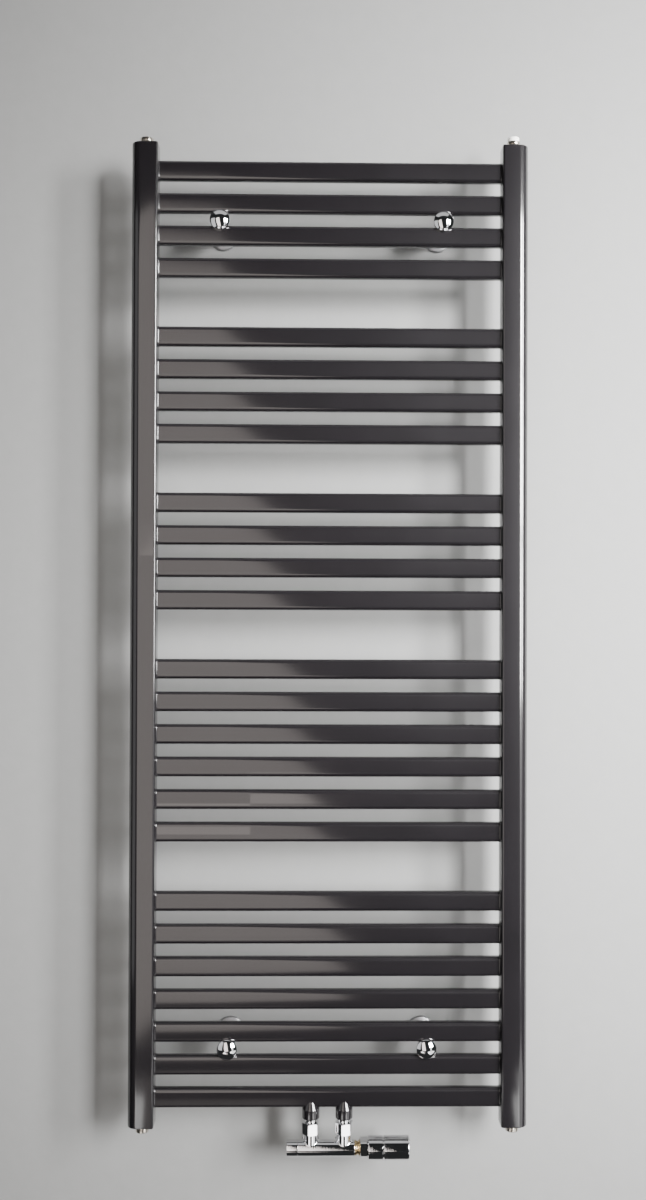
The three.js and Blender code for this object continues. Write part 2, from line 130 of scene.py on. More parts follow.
def finish(name, fixed, varied):
    """A material: plain values of the shader, and what varies over the surface."""
    made = bpy.data.materials.new(name)
    made.use_nodes = True
    shader = made.node_tree.nodes["Principled BSDF"]
    for socket, value in fixed.items():
        shader.inputs[socket].default_value = value
    place = Signal(made.node_tree).node("ShaderNodeTexCoord", output="Object")
    for socket, signal in varied(place).items():
        made.node_tree.links.new(signal.socket, shader.inputs[socket])
    return made


def anthracite(place):
    # Orange-peel skin of the baked powder, with fine metallic specks below a clear gloss.
    specks = place.math("GREATER_THAN", place.noise(5200, 1.0), 0.66)
    peel = place.noise(420, 2.0)
    cloud = place.noise(14, 3.0)
    tone = specks * 0.5 + cloud * 0.5
    return {
        "Base Color": tone.mix((0.0040, 0.0035, 0.0042), (0.0085, 0.0074, 0.0090)),
        "Roughness": 0.34 + 0.05 * cloud + 0.04 * peel,
        "Normal": place.bump(peel, 0.035),
    }


powder_coat = finish(
    "anthracite_powder_coat",
    {"Specular IOR Level": 0.1, "Coat Weight": 1.0, "Coat Roughness": 0.11, "Coat IOR": 1.6},
    anthracite,
)


def piece(name, rings, material, body, replaced=(), closed=False, capped=True, sharp=32):
    """A skin over a row of rings of points. Capped, it gets a flat face at each end; closed, its
    last ring joins the first."""
    mesh = bpy.data.meshes.new(name)
    count = len(rings[0])
    points = [p for ring in rings for p in ring]
    faces = []
    for i in range(len(rings) if closed else len(rings) - 1):
        a = i * count
        b = (i + 1) % len(rings) * count
        for j in range(count):
            k = (j + 1) % count
            faces.append((a + j, a + k, b + k, b + j))
    if capped:
        faces.append(tuple(reversed(range(count))))
        faces.append(tuple(range(len(points) - count, len(points))))
    mesh.from_pydata(points, [], faces)
    return placed(name, mesh, material, body, replaced, sharp)


weld_distance = 1e-7  # points closer than this are one


def placed(name, mesh, material, body, replaced=(), sharp=32):
    """Cleans a mesh, turns its faces out and makes it ride on its body."""
    work = bmesh.new()
    work.from_mesh(mesh)
    bmesh.ops.remove_doubles(work, verts=work.verts, dist=weld_distance)
    bmesh.ops.recalc_face_normals(work, faces=work.faces)
    work.to_mesh(mesh)
    work.free()
    mesh.shade_smooth()
    mesh.set_sharp_from_angle(angle=math.radians(sharp))
    mesh.materials.append(material)
    made = bpy.data.objects.new(name, mesh)
    bpy.context.scene.collection.objects.link(made)
    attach(made, body)
    if replaced:
        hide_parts(*replaced)
    return made


def arc(x, y, radius, start, end, steps):
    """Points of an arc about (x, y), between two angles in degrees."""
    turn = [math.radians(start + (end - start) * i / steps) for i in range(steps + 1)]
    return [(x + radius * math.cos(a), y + radius * math.sin(a)) for a in turn]


corner = 3.4 * mm  # rounding between the flat side and the round one
edge = 1.3 * mm  # rounding of the closed ends
edge_steps = 6
lengths = 12  # pieces that the tube's skin is divided into
for side, sign in (("left", -1), ("right", 1)):
    low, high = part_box("collector_" + side)
    middle = (low + high) / 2
    round_radius = (high.y - low.y) / 2
    flat_x = (high.x - low.x) / 2

    def d_section(inset, z):
        outline = (
            arc(flat_x - corner, -round_radius + corner, corner - inset, -90, 0, 8)
            + arc(flat_x - corner, round_radius - corner, corner - inset, 0, 90, 8)
            + arc(-flat_x + round_radius, 0, round_radius - inset, 90, 270, 56)
        )
        return [Vector((middle.x - sign * x, middle.y + y, z)) for x, y in outline]

    rounding = []
    for step in range(edge_steps + 1):
        a = math.radians(90 * step / edge_steps)
        rounding.append((edge * (1 - math.sin(a)), edge * (1 - math.cos(a))))
    rings = [d_section(inset, low.z + rise) for inset, rise in rounding]
    rings += [d_section(0, low.z + (high.z - low.z) * i / lengths) for i in range(1, lengths)]
    rings += [d_section(inset, high.z - rise) for inset, rise in reversed(rounding)]
    piece("tube_" + side, rings, powder_coat, "radiator", ["collector_" + side])

# ---------------------------------------------------------------- bars
# Flat-oval steel tubes, set in five groups with room for towels between them. Each end is welded
# all round to the flat side of a collector, and the coat runs over the small weld bead.

weld = 2.6 * mm  # leg of the weld fillet
weld_steps = 8
edge_radius = 6.3 * mm  # of the bar's rounded upper and lower edges
face_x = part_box("collector_right")[0].x


def rounded_box(half_width, half_height, radius, steps):
    """The outline of a rectangle about the middle, with round corners."""
    x, y = half_width - radius, half_height - radius
    return (
        arc(x, y, radius, 0, 90, steps)
        + arc(-x, y, radius, 90, 180, steps)
        + arc(-x, -y, radius, 180, 270, steps)
        + arc(x, -y, radius, 270, 360, steps)
    )


for number in range(1, 26):
    low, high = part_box(f"bar_{number:02d}")
    middle = (low + high) / 2
    half_depth = (high.y - low.y) / 2
    half_height = (high.z - low.z) / 2

    def flat_oval(x, grow):
        outline = rounded_box(half_depth + grow, half_height + grow, edge_radius + grow, 12)
        return [Vector((x, middle.y + p, middle.z + q)) for p, q in outline]

    half_bar = []
    for step in range(weld_steps + 1):
        a = math.radians(90 * step / weld_steps)
        # The bead's hollow runs from the collector's face out to the bar's own surface.
        half_bar.append((face_x - weld * (1 - math.cos(a)), weld * (1 - math.sin(a))))
    half_bar = [(face_x + 0.4 * mm, weld)] + half_bar
    stations = [(-x, g) for x, g in half_bar]
    stations += [(x, 0.0) for x in (-0.17, -0.085, 0.0, 0.085, 0.17)]
    stations += list(reversed(half_bar))
    piece(
        f"flat_tube_{number:02d}",
        [flat_oval(x, g) for x, g in stations],
        powder_coat,
        "radiator",
        [f"bar_{number:02d}"],
    )

# ---------------------------------------------------------------- connection sockets
# Two turned steel bosses, threaded inside, welded under the lowest bar 50 mm apart. They are wider
# than the bar, so their conical tops show on its faces, and they share its coat.


def rounded(corners):
    """A closed or open outline of (x, y, radius) corners, each one rounded to its radius."""
    outline = []
    for i, (x, y, radius) in enumerate(corners):
        if not radius:
            outline.append((x, y))
            continue
        here = Vector((x, y))
        back = Vector(corners[i - 1][:2]) - here
        ahead = Vector(corners[(i + 1) % len(corners)][:2]) - here
        half = back.angle(ahead) / 2
        reach = min(radius / math.tan(half), 0.49 * back.length, 0.49 * ahead.length)
        start = here + back.normalized() * reach
        end = here + ahead.normalized() * reach
        for step in range(7):
            t = step / 6
            outline.append(tuple(start * (1 - t) ** 2 + here * 2 * t * (1 - t) + end * t * t))
    return outline


def turned(name, corners, centre, axis, material, body, replaced=(), facets=72, sharp=32):
    """A lathe-turned piece: corners are (along, radius, rounding) from one end to the other.
    One that starts and ends on the axis is solid, and any other closes on itself as a ring."""
    outline = rounded(corners)
    along = Vector(axis).normalized()
    across = along.orthogonal().normalized()
    other = along.cross(across)
    solid = corners[0][1] == 0 and corners[-1][1] == 0
    mesh = bpy.data.meshes.new(name)
    points, faces = [], []
    for t, radius in outline:
        for j in range(facets):
            a = tau * j / facets
            offset = across * math.cos(a) + other * math.sin(a)
            points.append(Vector(centre) + along * t + offset * radius)
    for i in range(len(outline) - (1 if solid else 0)):
        a = i * facets
        b = (i + 1) % len(outline) * facets
        for j in range(facets):
            k = (j + 1) % facets
            faces.append((a + j, a + k, b + k, b + j))
    mesh.from_pydata(points, [], faces)
    return placed(name, mesh, material, body, replaced, sharp)


X = Vector((1, 0, 0))
Y = Vector((0, 1, 0))
Z = Vector((0, 0, 1))
bar_low, bar_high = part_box("bar_25")
bar_y = (bar_low.y + bar_high.y) / 2
for side in ("left", "right"):
    low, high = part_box("socket_" + side)
    radius = (high.x - low.x) / 2
    thread_radius = 9.3 * mm
    water_radius = 5 * mm
    centre = Vector(((low.x + high.x) / 2, bar_y, low.z))
    shoulder = bar_low.z - 2 * mm - low.z
    tip = high.z - low.z
    turned(
        "boss_" + side,
        [
            (0, thread_radius, 0),
            (0, radius, 0.7 * mm),
            (shoulder, radius, 1.2 * mm),
            (tip, 7.6 * mm, 0.6 * mm),
            (tip + 0.6 * mm, water_radius, 0),
            (shoulder, water_radius, 0),
            (shoulder, thread_radius, 0),
        ],
        centre,
        Z,
        powder_coat,
        "radiator",
        ["socket_" + side],
    )

# ---------------------------------------------------------------- blind plugs
# Brass plugs, nickel plated, screwed into three of the four collector ends with a flat seal. Each
# has a hexagon recess for the key.


def plated(place):
    # Fine turning lines and faint stains from handling under a bright nickel.
    lines = place.scaled(30, 30, 9000).noise(1, 1.0)
    stain = place.noise(260, 3.0)
    return {
        "Base Color": stain.mix((0.50, 0.45, 0.39), (0.69, 0.65, 0.58)),
        "Roughness": 0.14 + 0.12 * stain,
        "Normal": place.bump(lines, 0.05),
    }


nickel = finish("bright_nickel_plate", {"Metallic": 1.0}, plated)


# From the thread out: the flat seal's flange, a groove under the head, and the head's first edge.
thread_end = (0.3 * mm, 9.0 * mm, 0)
seal_flange = [(0.3 * mm, 10.6 * mm, 0.3 * mm), (2.2 * mm, 10.6 * mm, 0.4 * mm)]
head_groove = [(2.6 * mm, 9.5 * mm, 0.3 * mm), (3.2 * mm, 9.5 * mm, 0.2 * mm)]
head_edge = (3.5 * mm, 9.9 * mm, 0.3 * mm)


def round_ring(radius, t, facets):
    """A ring of points about the Z axis at height t."""
    angles = [tau * j / facets for j in range(facets)]
    return [(radius * math.cos(a), radius * math.sin(a), t) for a in angles]


def hexagon_radius(flats, a):
    """How far a hexagon's outline is from its middle at angle a; flats is half its width."""
    return flats / math.cos((a + math.pi / 6) % (math.pi / 3) - math.pi / 6)


def hexagon_recess_plug(place, up):
    """A plug in one collector end; up is 1 at a top end and -1 at a bottom one."""
    low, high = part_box("plug_" + place)
    tube_low, tube_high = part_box("collector_" + place.split("_")[1])
    end = tube_high.z if up > 0 else tube_low.z
    centre = Vector(((low.x + high.x) / 2, (low.y + high.y) / 2, end))
    head = (high.z - end) if up > 0 else (end - low.z)
    facets = 96
    key_flats = 5.2 * mm
    outline = rounded(
        [(-9 * mm, 0, 0), (-9 * mm, 9.0 * mm, 0.8 * mm), thread_end, *seal_flange, *head_groove]
        + [head_edge, (head, 9.9 * mm, 0.9 * mm), (head, 6.2 * mm, 0.3 * mm)]
    )
    rings = [round_ring(radius, t, facets) for t, radius in outline]
    # Below the rim the round hole turns into the key's hexagon.
    for depth in (0.5 * mm, 5.2 * mm):
        ring = []
        for j in range(facets):
            a = tau * j / facets
            r = hexagon_radius(key_flats, a)
            ring.append((r * math.cos(a), r * math.sin(a), head - depth))
        rings.append(ring)
    rings.append([(0.0, 0.0, head - 5.6 * mm)] * facets)
    rings = [[centre + Vector((x, y, z * up)) for x, y, z in ring] for ring in rings]
    piece("end_plug_" + place, rings, nickel, "radiator", ["plug_" + place], capped=False)


for place, up in (("top_left", 1), ("bottom_left", -1), ("bottom_right", -1)):
    hexagon_recess_plug(place, up)

# ---------------------------------------------------------------- air vent
# It lets trapped air out of the top right end: a plated brass body with a screw in its middle, and
# a white plastic nozzle that turns on the body's neck to point its spout.

low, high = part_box("vent_body")
vent = Vector(((low.x + high.x) / 2, (low.y + high.y) / 2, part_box("collector_right")[1].z))
neck_top = high.z - vent.z
neck_radius = 6.0 * mm
screw_bore = 3.0 * mm
turned(
    "vent_fitting",
    [
        (-10 * mm, screw_bore, 0),
        (-10 * mm, 9.0 * mm, 0.6 * mm),
        thread_end,
        *seal_flange,
        *head_groove,
        head_edge,
        (7.9 * mm, 9.9 * mm, 0.5 * mm),
        (7.9 * mm, neck_radius, 0.2 * mm),
        (neck_top, neck_radius, 0.4 * mm),
        (neck_top, screw_bore, 0.2 * mm),
    ],
    vent,
    Z,
    nickel,
    "radiator",
    ["vent_body"],
)


def moulded(place):
    grain = place.noise(1600, 2.0)
    cloud = place.noise(90, 2.0)
    return {
        "Base Color": cloud.mix((0.80, 0.80, 0.76), (0.90, 0.90, 0.87)),
        "Roughness": 0.36 + 0.1 * grain,
        "Normal": place.bump(grain, 0.06),
    }


white_plastic = finish("white_moulded_plastic", {"Specular IOR Level": 0.45}, moulded)
low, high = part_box("vent_nozzle")
nozzle_bottom = low.z - vent.z
nozzle_top = high.z - vent.z
nozzle_bore = neck_radius + 0.3 * mm
turned(
    "vent_swivel",
    [
        (nozzle_bottom, nozzle_bore, 0.2 * mm),
        (nozzle_bottom, 8.9 * mm, 0.5 * mm),
        (nozzle_top, 8.7 * mm, 0.9 * mm),
        (nozzle_top, nozzle_bore, 0.3 * mm),
    ],
    vent,
    Z,
    white_plastic,
    "nozzle",
    ["vent_nozzle"],
)
spout_turn = math.radians(50)
spout_way = Vector((math.cos(spout_turn), math.sin(spout_turn), 0))
spout_root, spout_tip, spout_bore = 7.6 * mm, 11.4 * mm, 0.9 * mm
turned(
    "vent_spout",
    [
        (spout_root, spout_bore, 0),
        (spout_root, 1.9 * mm, 0),
        (spout_tip, 1.75 * mm, 0.3 * mm),
        (spout_tip, spout_bore, 0.2 * mm),
    ],
    vent + Z * (nozzle_bottom + nozzle_top) / 2,
    spout_way,
    white_plastic,
    "nozzle",
    facets=32,
)


def yellow_metal(place):
    lines = place.scaled(9000, 30, 30).noise(1, 1.0)
    stain = place.noise(300, 3.0)
    return {
        "Base Color": stain.mix((0.50, 0.38, 0.20), (0.74, 0.61, 0.38)),
        "Roughness": 0.16 + 0.16 * stain,
        "Normal": place.bump(lines, 0.08),
    }


brass = finish("turned_brass", {"Metallic": 1.0}, yellow_metal)


def slotted_screw():
    """The bleed screw: a turned blank whose head then gets a slot for a screwdriver."""
    head_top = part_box("vent_screw")[1].z - vent.z
    head_bottom = head_top - 2.4 * mm
    facets = 64
    slot_half = 0.6 * mm
    slot_depth = 1.2 * mm
    outline = rounded(
        [
            (-8 * mm, 0, 0),
            (-8 * mm, 2.7 * mm, 0.5 * mm),
            (head_bottom, 2.7 * mm, 0),
            (head_bottom, 4.5 * mm, 0.3 * mm),
            (head_top, 4.5 * mm, 0.4 * mm),
        ]
    )
    rings = [round_ring(r, t, facets) for t, r in outline]
    # Closer and closer rings fill the head's face.
    rings += [round_ring(r * mm, head_top, facets) for r in (4.0, 3.0, 2.0, 1.0, 0.0)]
    mesh = bpy.data.meshes.new("bleed_screw")
    points = [vent + Vector(p) for ring in rings for p in ring]
    faces = []
    for i in range(len(rings) - 1):
        a = i * facets
        b = a + facets
        for j in range(facets):
            k = (j + 1) % facets
            faces.append((a + j, a + k, b + k, b + j))
    mesh.from_pydata(points, [], faces)
    work = bmesh.new()
    work.from_mesh(mesh)
    bmesh.ops.remove_doubles(work, verts=work.verts, dist=weld_distance)
    # The slot: the band between two cuts across the head is sunk straight down.
    for edge_y in (-slot_half, slot_half):
        bmesh.ops.bisect_plane(
            work,
            geom=work.verts[:] + work.edges[:] + work.faces[:],
            plane_co=vent + Vector((0, edge_y, 0)),
            plane_no=(0, 1, 0),
        )
    cut = []
    for face in work.faces:
        middle = face.calc_center_median() - vent
        on_top = face.normal.z > 0.9 and middle.z > head_top - 0.05 * mm
        if on_top and abs(middle.y) < slot_half:
            cut.append(face)
    sunk = bmesh.ops.extrude_face_region(work, geom=cut)
    moved = [v for v in sunk["geom"] if isinstance(v, bmesh.types.BMVert)]
    bmesh.ops.translate(work, verts=moved, vec=(0, 0, -slot_depth))
    bmesh.ops.delete(work, geom=cut, context="FACES_ONLY")
    work.to_mesh(mesh)
    work.free()
    placed("bleed_screw", mesh, brass, "screw", ["vent_screw"])


slotted_screw()

# ---------------------------------------------------------------- wall brackets
# Four of them, each clamped between two bars: a domed button on a stud pulls a clamp plate against
# the bars' backs, and the plate's sleeve slides on the peg of a round foot screwed to the wall.


def mirror_plate(place):
    # A mirror-bright plate with the faintest wipe marks.
    wipe = place.scaled(1, 1, 3).noise(130, 4.0, 0.6)
    return {
        "Base Color": wipe.mix((0.83, 0.83, 0.85), (0.90, 0.90, 0.91)),
        "Roughness": 0.025 + 0.05 * wipe,
        "Normal": place.bump(place.noise(60, 1.0), 0.02),
    }


chrome = finish("polished_chrome", {"Metallic": 1.0}, mirror_plate)


def zinc(place):
    spangle = place.noise(700, 2.0)
    return {
        "Base Color": spangle.mix((0.42, 0.42, 0.44), (0.62, 0.62, 0.63)),
        "Roughness": 0.28 + 0.18 * spangle,
        "Normal": place.bump(spangle, 0.05),
    }


zinc_steel = finish("zinc_plated_steel", {"Metallic": 1.0}, zinc)

rim = 3.9 * mm  # height of the button's straight edge
stud_radius = 4 * mm
stud_length = 20 * mm
plate_thickness = 4 * mm
crown_steps = 24
lock_foot, lock_top, lock_key = 8.0 * mm, 9.4 * mm, 8.4 * mm
for corner_name in ("top_left", "top_right", "bottom_left", "bottom_right"):
    low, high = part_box(f"bracket_{corner_name}_cap")
    centre = Vector(((low.x + high.x) / 2, 0, (low.z + high.z) / 2))
    button_radius = (high.x - low.x) / 2
    back = bar_low.y - 0.15 * mm
    dome = -low.y + back - rim
    sphere = (button_radius**2 + dome**2) / (2 * dome)
    half_angle = math.asin(button_radius / sphere)
    crown = []
    for step in range(1, crown_steps + 1):
        a = half_angle * step / crown_steps
        crown.append((rim + dome - sphere * (1 - math.cos(a)), sphere * math.sin(a), 0))
    crown[-1] = (rim, button_radius, 0.5 * mm)
    outline = [(rim + dome, 0, 0)] + crown + [(0, button_radius, 0.4 * mm), (0, stud_radius, 0)]
    outline += [(-stud_length, stud_radius, 0.4 * mm), (-stud_length, 0, 0)]
    turned(
        f"button_{corner_name}",
        outline,
        centre + Y * back,
        -Y,
        chrome,
        "radiator",
        [f"bracket_{corner_name}_cap"],
        facets=96,
    )
    low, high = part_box(f"bracket_{corner_name}_clamp")
    plate_front = bar_high.y + 0.15 * mm
    sleeve_end = high.y
    turned(
        f"collar_{corner_name}",
        [
            (back + 0.2 * mm, stud_radius + 0.3 * mm, 0),
            (back + 0.2 * mm, 6.8 * mm, 0.5 * mm),
            (plate_front + 1 * mm, 6.8 * mm, 0),
            (plate_front + 1 * mm, stud_radius + 0.3 * mm, 0),
        ],
        centre,
        Y,
        chrome,
        "radiator",
        facets=64,
    )
    rings = []
    plate_edge = [(0, 0.6 * mm), (0.2 * mm, 0.18 * mm), (0.6 * mm, 0)]
    for t, inset in plate_edge + [(plate_thickness - t, i) for t, i in reversed(plate_edge)]:
        half_width = (high.x - low.x) / 2 - inset
        half_height = (high.z - low.z) / 2 - inset
        outline = rounded_box(half_width, half_height, 3.6 * mm, 8)
        rings.append([centre + Vector((x, plate_front + t, z)) for x, z in outline])
    piece(f"clamp_plate_{corner_name}", rings, chrome, "radiator")
    turned(
        f"sleeve_{corner_name}",
        [
            (plate_front + 3.9 * mm, 0, 0),
            (plate_front + 3.9 * mm, 11 * mm, 0.3 * mm),
            (plate_front + 5.4 * mm, 11 * mm, 0.6 * mm),
            (plate_front + 6.4 * mm, 9 * mm, 0.8 * mm),
            (sleeve_end - 4.4 * mm, 9 * mm, 0.3 * mm),
            (sleeve_end - 4.0 * mm, 8.5 * mm, 0.2 * mm),
            (sleeve_end - 3.4 * mm, 8.5 * mm, 0.2 * mm),
            (sleeve_end - 3.0 * mm, 9 * mm, 0.3 * mm),
            (sleeve_end, 9 * mm, 0.6 * mm),
            (sleeve_end, 6.4 * mm, 0.3 * mm),
            (plate_front + 12 * mm, 6.4 * mm, 0),
            (plate_front + 12 * mm, 0, 0),
        ],
        centre,
        Y,
        chrome,
        "radiator",
        [f"bracket_{corner_name}_clamp"],
    )
    # The grub screw that locks the depth, on the sleeve's underside.
    turned(
        f"depth_lock_{corner_name}",
        [
            (lock_foot, 0, 0),
            (lock_foot, 2.0 * mm, 0),
            (lock_top, 2.0 * mm, 0.3 * mm),
            (lock_top, 1.1 * mm, 0.1 * mm),
            (lock_key, 1.0 * mm, 0),
            (lock_key, 0, 0),
        ],
        centre + Y * (sleeve_end - 14 * mm),
        -Z,
        zinc_steel,
        "radiator",
        facets=36,
    )
    low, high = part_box(f"bracket_{corner_name}_foot")
    turned(
        f"wall_foot_{corner_name}",
        [
            (low.y, 2.6 * mm, 0),
            (low.y, 6.2 * mm, 0.5 * mm),
            (-7.5 * mm, 6.2 * mm, 0.5 * mm),
            (-6.6 * mm, 9.5 * mm, 0.8 * mm),
            (-4.2 * mm, 18.6 * mm, 1.2 * mm),
            (-2.6 * mm, 20 * mm, 0.8 * mm),
            (high.y, 20 * mm, 0.3 * mm),
            (high.y, 2.6 * mm, 0),
        ],
        centre,
        Y,
        zinc_steel,
        "radiator",
        [f"bracket_{corner_name}_foot"],
    )

# ---------------------------------------------------------------- tailpieces and union nuts
# A chromed tailpiece screws into each socket, and a loose hexagon nut on it pulls the valve's riser
# up against its seal.


def hexagon_nut(name, start, end, flats, corners, bore, mouth, centre, axis, replaced):
    """A nut from start to end along its axis: six flats whose corners are turned down at both
    ends, and a hole that is narrower at the mouth, beyond its seat."""
    facets = 120
    edge_break = 0.4 * mm
    seat_depth = 2.6 * mm
    slope = math.tan(math.radians(28))
    face_radius = flats - edge_break
    along = Vector(axis)
    across = along.orthogonal().normalized()
    other = along.cross(across)
    angles = [tau * j / facets for j in range(facets)]

    def chamfer_ring(share, end_face, inward):
        """From the end face at share 0, down the turned cone, to the flats at share 1."""
        ring = []
        for a in angles:
            r = face_radius * (1 - share) + min(hexagon_radius(flats, a), corners) * share
            ring.append((r, end_face + inward * max(0.0, r - face_radius) * slope))
        return ring

    shares = (0.0, 0.33, 0.66, 1.0)
    rings = [[(bore, start)] * facets]
    rings += [chamfer_ring(share, start, 1) for share in shares]
    rings += [chamfer_ring(share, end, -1) for share in reversed(shares)]
    rings.append([(mouth + edge_break, end)] * facets)
    rings.append([(mouth, end - edge_break)] * facets)
    rings += [[(r, end - seat_depth)] * facets for r in (mouth, bore)]
    ways = [across * math.cos(a) + other * math.sin(a) for a in angles]
    shown = [
        [Vector(centre) + along * t + way * r for way, (r, t) in zip(ways, ring)] for ring in rings
    ]
    piece(name, shown, chrome, "radiator", replaced, closed=True, capped=False, sharp=14)


tail_bore = 6.2 * mm
neck = 8.2 * mm
shank = 8.9 * mm
for side in ("left", "right"):
    low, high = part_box("tailpiece_" + side)
    centre = Vector(((low.x + high.x) / 2, bar_y, 0))
    socket_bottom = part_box("socket_" + side)[0].z
    nut_low, nut_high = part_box("union_nut_" + side)
    flange_low, flange_high = nut_high.z + 0.3 * mm, socket_bottom - 0.2 * mm
    turned(
        "tail_" + side,
        [
            (low.z, tail_bore, 0),
            (low.z, 10.2 * mm, 0.3 * mm),
            (low.z + 3 * mm, 10.2 * mm, 0.2 * mm),
            (low.z + 3.2 * mm, neck, 0),
            (flange_low, neck, 0),
            (flange_low, 9.8 * mm, 0.5 * mm),
            (flange_high, 9.8 * mm, 0.5 * mm),
            (flange_high, shank, 0),
            (high.z, shank, 0.4 * mm),
            (high.z, tail_bore, 0),
        ],
        centre,
        Z,
        chrome,
        "radiator",
        ["tailpiece_" + side],
    )
    hexagon_nut(
        "coupling_nut_" + side,
        nut_low.z,
        nut_high.z,
        flats=12.25 * mm,
        corners=13.7 * mm,
        bore=10.8 * mm,
        mouth=neck + 0.3 * mm,
        centre=centre,
        axis=Z,
        replaced=["union_nut_" + side],
    )

# ---------------------------------------------------------------- valve body
# One brass casting, machined and chromed: a cross tube with a flow and a return chamber, a riser to
# each union and a threaded stub at the back for each pipe from the wall.


def turned_plate(place):
    # Chrome over a turned surface: its fine rings draw each light out along the axis.
    rings = place.scaled(1700, 6, 6).noise(1, 1.0)
    wipe = place.scaled(1, 1, 3).noise(130, 4.0, 0.6)
    return {
        "Base Color": wipe.mix((0.80, 0.80, 0.82), (0.88, 0.88, 0.89)),
        "Roughness": 0.03 + 0.05 * wipe,
        "Normal": place.bump(rings, 0.075),
    }


turned_chrome = finish("turned_chrome", {"Metallic": 1.0}, turned_plate)
valve_low, valve_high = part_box("valve_body")
valve_radius = 12 * mm
valve_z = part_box("lockshield_cap")[0].z + valve_radius
cross_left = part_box("lockshield_cap")[1].x + 0.3 * mm
cross_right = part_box("thermostat_insert")[0].x
cap_spigot = 9.2 * mm
spindle_bore = 6.4 * mm
insert_bore = 8.1 * mm
wall_half = 6 * mm  # of the wall between the flow and the return chamber
turned(
    "cross_tube",
    [
        (valve_low.x, spindle_bore, 0.3 * mm),
        (valve_low.x, cap_spigot, 0.5 * mm),
        (cross_left, cap_spigot, 0),
        (cross_left, valve_radius, 0.35 * mm),
        (valve_high.x, valve_radius, 0.7 * mm),
        (valve_high.x, insert_bore, 0.3 * mm),
        (wall_half, insert_bore, 0),
        (wall_half, 0.4 * mm, 0),
        (-wall_half, 0.4 * mm, 0),
        (-wall_half, spindle_bore, 0),
    ],
    (0, bar_y, valve_z),
    X,
    turned_chrome,
    "radiator",
    ["valve_body"],
    facets=96,
)


def riser(name, foot, radius, fillet, bore, head):
    """A branch that grows out of the cross tube through a rounded fillet that follows it, and
    ends in a turned head of (radius, height) rings."""
    facets = 96
    fillet_steps = 12
    root = 4 * mm
    angles = [tau * j / facets for j in range(facets)]

    def saddle_point(a, share):
        # The centre of the ball that rolls along the seam, then its arc from tube to branch.
        x = (radius + fillet) * math.cos(a)
        y = (radius + fillet) * math.sin(a)
        z = math.sqrt((valve_radius + fillet) ** 2 - y**2)
        to_branch = Vector((-fillet * math.cos(a), -fillet * math.sin(a), 0))
        to_tube = Vector((0, -y, -z)).normalized() * fillet
        turn = to_branch.angle(to_tube)
        way = to_branch * math.sin((1 - share) * turn) + to_tube * math.sin(share * turn)
        return foot + Vector((x, y, z)) + way / math.sin(turn)

    def level_ring(r, t):
        return [foot + (X * math.cos(a) + Y * math.sin(a)) * r + Z * t for a in angles]

    rings = [level_ring(bore, root), level_ring(radius * 0.9, root)]
    for step in range(fillet_steps + 1):
        rings.append([saddle_point(a, 1 - step / fillet_steps) for a in angles])
    rings += [level_ring(r, t) for r, t in head]
    piece(name, rings, chrome, "radiator", closed=True, capped=False, sharp=30)


riser_radius = 10.2 * mm
riser_bore = 7 * mm
riser_top = valve_high.z - valve_z
spigot_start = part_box("union_nut_left")[0].z - valve_z + 3 * mm
spigot_radius = 10.4 * mm
stub_face = valve_high.y - bar_y
stub_bore = 7.5 * mm
thread_pitch = 1.5 * mm
for side in ("left", "right"):
    low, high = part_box("tailpiece_" + side)
    foot = Vector(((low.x + high.x) / 2, bar_y, valve_z))
    head = [(riser_radius, spigot_start), (spigot_radius, spigot_start)]
    head += [(spigot_radius, riser_top - 0.4 * mm), (10.0 * mm, riser_top)]
    head += [(riser_bore, riser_top)]
    riser("riser_" + side, foot, riser_radius, 3.2 * mm, riser_bore, head)
    thread = [(0.6 * mm, stub_bore, 0), (0.6 * mm, 11.4 * mm, 0), (12.5 * mm, 11.4 * mm, 0.4 * mm)]
    turn_at = 13.2 * mm
    while turn_at < stub_face - 2.2 * mm:
        thread += [(turn_at, 12.3 * mm, 0), (turn_at + thread_pitch / 2, 13.15 * mm, 0.12 * mm)]
        turn_at += thread_pitch
    thread += [(turn_at, 12.2 * mm, 0), (stub_face - 0.5 * mm, 12.6 * mm, 0.2 * mm)]
    thread += [(stub_face, 12.2 * mm, 0.2 * mm), (stub_face, 9.6 * mm, 0)]
    thread += [(stub_face - 4 * mm, stub_bore, 0)]
    turned(
        "pipe_stub_" + side, thread, foot, Y, chrome, "radiator", facets=80, sharp=24
    )

# ---------------------------------------------------------------- lockshield
# The return side's regulating valve: a brass spindle with a hexagon hole, turned with a key and
# hidden under a plain chromed cap at the left end.

low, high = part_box("lockshield_cap")
cap_bore = cap_spigot + 0.3 * mm
cap_floor = low.x + 4 * mm
turned(
    "lockshield_cover",
    [
        (low.x, 0, 0),
        (low.x, valve_radius, 0.9 * mm),
        (high.x, valve_radius, 0.35 * mm),
        (high.x, cap_bore, 0.2 * mm),
        (cap_floor, cap_bore, 0),
        (cap_floor, 0, 0),
    ],
    (0, bar_y, valve_z),
    X,
    turned_chrome,
    "cap",
    ["lockshield_cap"],
    facets=96,
)
low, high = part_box("lockshield_spindle")
facets = 60
angles = [tau * j / facets for j in range(facets)]
